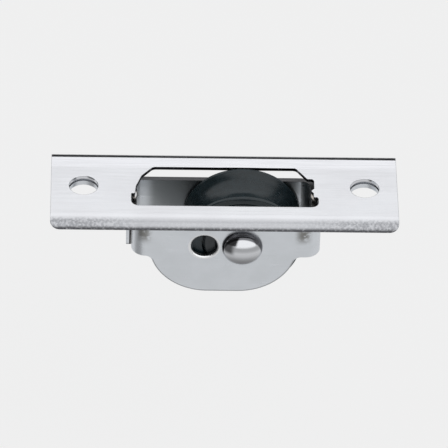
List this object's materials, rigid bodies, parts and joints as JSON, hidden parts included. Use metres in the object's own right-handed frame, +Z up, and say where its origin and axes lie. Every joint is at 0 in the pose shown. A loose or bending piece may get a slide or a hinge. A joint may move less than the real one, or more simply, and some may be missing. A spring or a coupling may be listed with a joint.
{
  "type": "single sheave block",
  "caption": "Through-deck sheave block: slotted cover plate with rolled edges, pressed steel housing, and a black ball-bearing sheave on a riveted axle set to one side.",
  "frame": {"origin": "centre of the seating plane, level with the underside of the feet and the lower edges of the cover's rolls", "axes": "+X along the cover plate towards the end that the axle is nearer to, +Y across it, +Z up out of the deck"},
  "size_m": [0.112, 0.0356, 0.0381],
  "materials": {
    "cover_steel": "polished stainless steel, bright, faintly lined along its length",
    "housing_steel": "satin stainless sheet with rolled grain",
    "weld_metal": "small fused weld bead, semi-bright",
    "rivet_steel": "mirror-polished stainless dome",
    "race_steel": "ground bearing steel",
    "sheave_plastic": "satin black moulded and turned acetal",
    "retainer_plastic": "satin black moulded acetal",
    "ball_plastic": "natural white acetal, smooth"
  },
  "bodies": {
    "housing": {"cover_plate": "cover_steel", "front_sideplate": "housing_steel", "rear_sideplate": "housing_steel", "left_end_weld": "weld_metal", "right_end_weld": "weld_metal", "axle_rivet": "rivet_steel", "inner_race": "race_steel"},
    "sheave": {"sheave": "sheave_plastic", "front_ball_retainer": "retainer_plastic", "rear_ball_retainer": "retainer_plastic"},
    "front_ball_row": {"front_ball_01": "ball_plastic", "front_ball_02": "ball_plastic", "front_ball_03": "ball_plastic", "front_ball_04": "ball_plastic", "front_ball_05": "ball_plastic", "front_ball_06": "ball_plastic", "front_ball_07": "ball_plastic", "front_ball_08": "ball_plastic", "front_ball_09": "ball_plastic", "front_ball_10": "ball_plastic", "front_ball_11": "ball_plastic", "front_ball_12": "ball_plastic"},
    "rear_ball_row": {"rear_ball_01": "ball_plastic", "rear_ball_02": "ball_plastic", "rear_ball_03": "ball_plastic", "rear_ball_04": "ball_plastic", "rear_ball_05": "ball_plastic", "rear_ball_06": "ball_plastic", "rear_ball_07": "ball_plastic", "rear_ball_08": "ball_plastic", "rear_ball_09": "ball_plastic", "rear_ball_10": "ball_plastic", "rear_ball_11": "ball_plastic", "rear_ball_12": "ball_plastic"}
  },
  "joints": [
    {"name": "sheave_spin", "type": "hinge", "parent": "housing", "child": "sheave", "pos_m": [0.00615, 0, -0.0138], "axis": [0, 1, 0], "continuous": true},
    {"name": "front_balls_orbit", "type": "hinge", "parent": "housing", "child": "front_ball_row", "pos_m": [0.00615, -0.0032, -0.0138], "axis": [0, 1, 0], "continuous": true},
    {"name": "rear_balls_orbit", "type": "hinge", "parent": "housing", "child": "rear_ball_row", "pos_m": [0.00615, 0.0032, -0.0138], "axis": [0, 1, 0], "continuous": true}
  ],
  "couplings": [
    {"joint": "front_balls_orbit", "follows": "sheave_spin", "ratio": 0.61905},
    {"joint": "rear_balls_orbit", "follows": "sheave_spin", "ratio": 0.61905}
  ]
}
